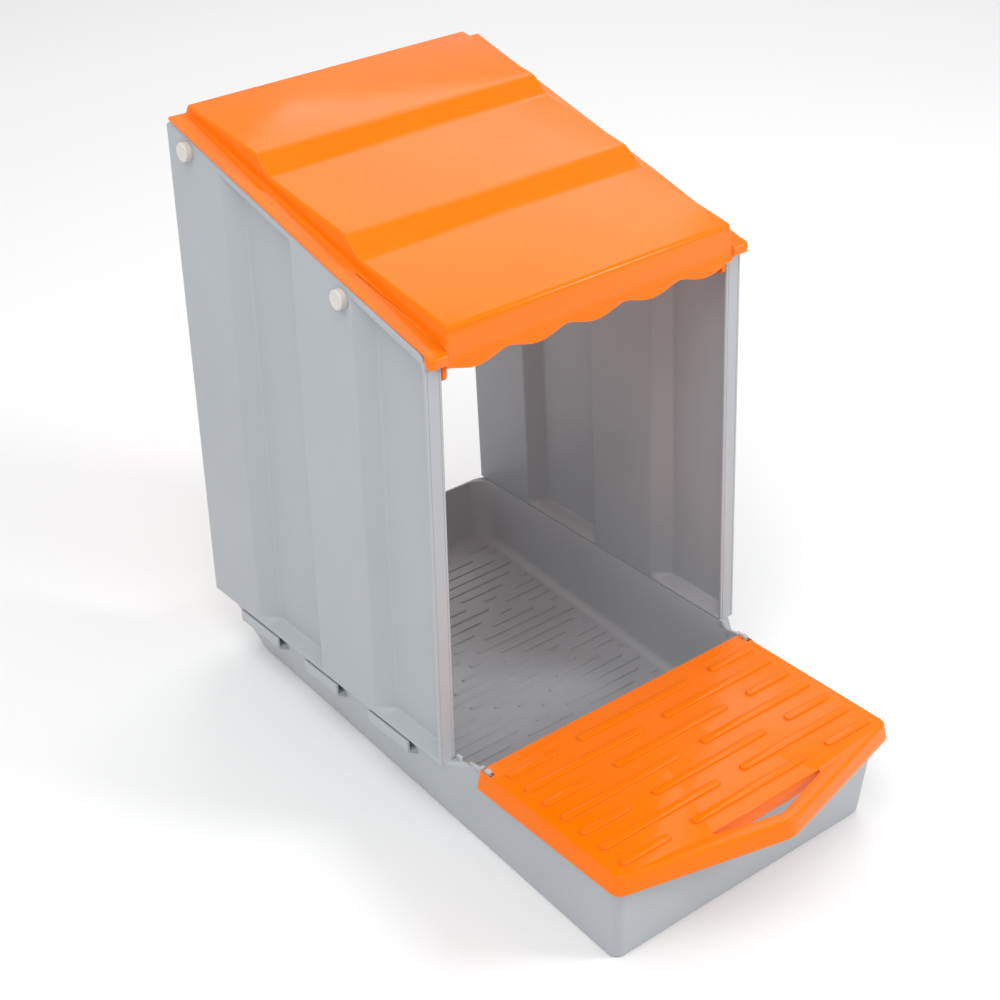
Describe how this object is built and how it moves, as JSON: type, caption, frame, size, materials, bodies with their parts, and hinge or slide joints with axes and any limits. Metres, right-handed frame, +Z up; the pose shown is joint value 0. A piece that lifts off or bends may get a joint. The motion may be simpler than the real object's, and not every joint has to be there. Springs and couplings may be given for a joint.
{
  "type": "poultry nesting box",
  "caption": "Modular plastic poultry nesting box: an open nest under a stepped, scalloped roof, on a tray whose egg trough has a hinged, ribbed lid.",
  "frame": {"origin": "middle of the bounding box's footprint, on the flat underside of the base tray", "axes": "+Z up, square to the underside; -Y is the front, where the egg tray is; +X is the right as seen from the front looking in along +Y"},
  "size_m": [0.304, 0.5652, 0.4833],
  "materials": {
    "grey_plastic": "satin injection moulded polypropylene",
    "orange_plastic": "semi-gloss injection moulded polypropylene",
    "white_plastic": "satin moulded plastic"
  },
  "bodies": {
    "nest_box": {"base_tray": "grey_plastic", "side_panel_left": "grey_plastic", "side_panel_right": "grey_plastic", "roof": "orange_plastic", "pin_left_rear": "white_plastic", "pin_left_front": "white_plastic", "pin_right_rear": "white_plastic", "pin_right_front": "white_plastic"},
    "lid": {"tray_lid": "orange_plastic"}
  },
  "joints": [
    {"name": "lid_hinge", "type": "hinge", "parent": "nest_box", "child": "lid", "pos_m": [0, -0.09394, 0.07904], "axis": [-1, 0, 0], "range_deg": [0, 95]}
  ]
}
